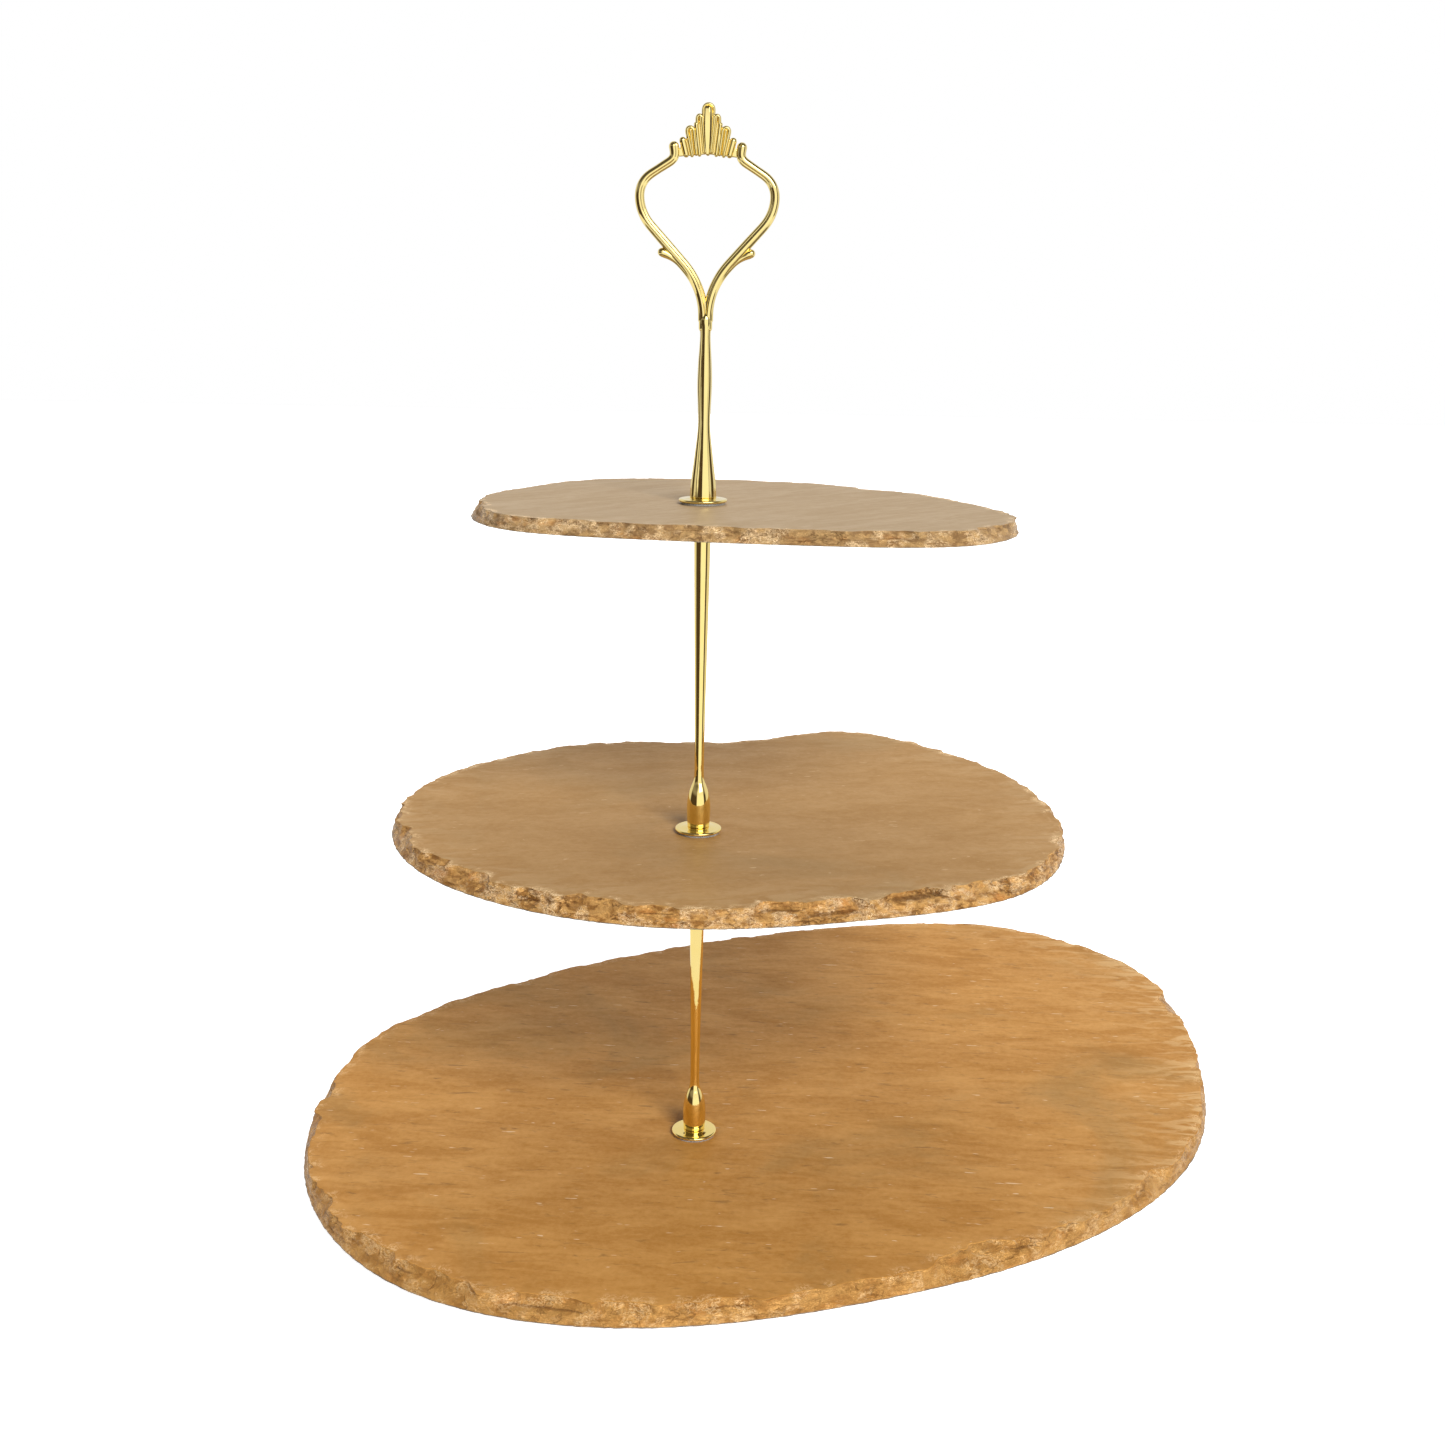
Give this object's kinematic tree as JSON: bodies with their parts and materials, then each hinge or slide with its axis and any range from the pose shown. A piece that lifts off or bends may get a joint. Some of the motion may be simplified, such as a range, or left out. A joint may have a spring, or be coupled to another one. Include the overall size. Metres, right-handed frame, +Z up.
{
  "type": "tiered cake stand",
  "caption": "Tiered cake stand of gold-painted slates with chipped edges, held by a screwed post of cast rods, with a crown-topped loop handle for carrying.",
  "frame": {"origin": "middle of the bottom slate's outline box, on the table plane under the feet", "axes": "+Z up along the post, +X to the viewer's right, -Y towards the viewer, who sees the crown's face"},
  "size_m": [0.3709, 0.3466, 0.3827],
  "materials": {
    "slate_bottom": "gold paint over riven slate",
    "slate_middle": "gold paint over riven slate",
    "slate_top": "gold paint over riven slate",
    "handle_gold": "polished pale gold plating",
    "rod_gold": "polished gold plating",
    "steel": "bright zinc",
    "clear_gasket": "clear vinyl",
    "foot_rubber": "matt"
  },
  "bodies": {
    "base": {"bottom_plate": "slate_bottom", "foot_front_left": "foot_rubber", "foot_front_right": "foot_rubber", "foot_back_right": "foot_rubber", "foot_back_left": "foot_rubber", "base_screw": "steel", "base_washer": "steel", "base_gasket": "clear_gasket", "lower_rod_gasket": "clear_gasket"},
    "lower_washer": {"lower_rod_washer": "rod_gold"},
    "middle_tier": {"lower_rod": "rod_gold", "lower_rod_stud": "steel", "middle_seat_gasket": "clear_gasket", "middle_plate": "slate_middle", "upper_rod_gasket": "clear_gasket"},
    "upper_washer": {"upper_rod_washer": "rod_gold"},
    "top_tier": {"upper_rod": "rod_gold", "upper_rod_stud": "steel", "top_seat_gasket": "clear_gasket", "top_plate": "slate_top", "handle_gasket": "clear_gasket"},
    "top_washer": {"handle_washer": "handle_gold"},
    "handle": {"crown_handle": "handle_gold"}
  },
  "joints": [
    {"name": "lower_rod_turn", "type": "hinge", "parent": "base", "child": "lower_washer", "pos_m": [-0.0358, -0.0563, 0], "axis": [0, 0, 1], "range_deg": [0, 4320]},
    {"name": "lower_rod_rise", "type": "slide", "parent": "lower_washer", "child": "middle_tier", "axis": [0, 0, 1], "range_m": [0, 0.00841]},
    {"name": "upper_rod_turn", "type": "hinge", "parent": "middle_tier", "child": "upper_washer", "pos_m": [-0.0358, -0.0563, 0], "axis": [0, 0, 1], "range_deg": [0, 4320]},
    {"name": "upper_rod_rise", "type": "slide", "parent": "upper_washer", "child": "top_tier", "axis": [0, 0, 1], "range_m": [0, 0.00841]},
    {"name": "handle_turn", "type": "hinge", "parent": "top_tier", "child": "top_washer", "pos_m": [-0.0358, -0.0563, 0], "axis": [0, 0, 1], "range_deg": [0, 4320]},
    {"name": "handle_rise", "type": "slide", "parent": "top_washer", "child": "handle", "axis": [0, 0, 1], "range_m": [0, 0.00841]}
  ],
  "couplings": [
    {"joint": "lower_rod_rise", "follows": "lower_rod_turn", "m_per_rad": 0.00011141},
    {"joint": "upper_rod_rise", "follows": "upper_rod_turn", "m_per_rad": 0.00011141},
    {"joint": "handle_rise", "follows": "handle_turn", "m_per_rad": 0.00011141}
  ]
}
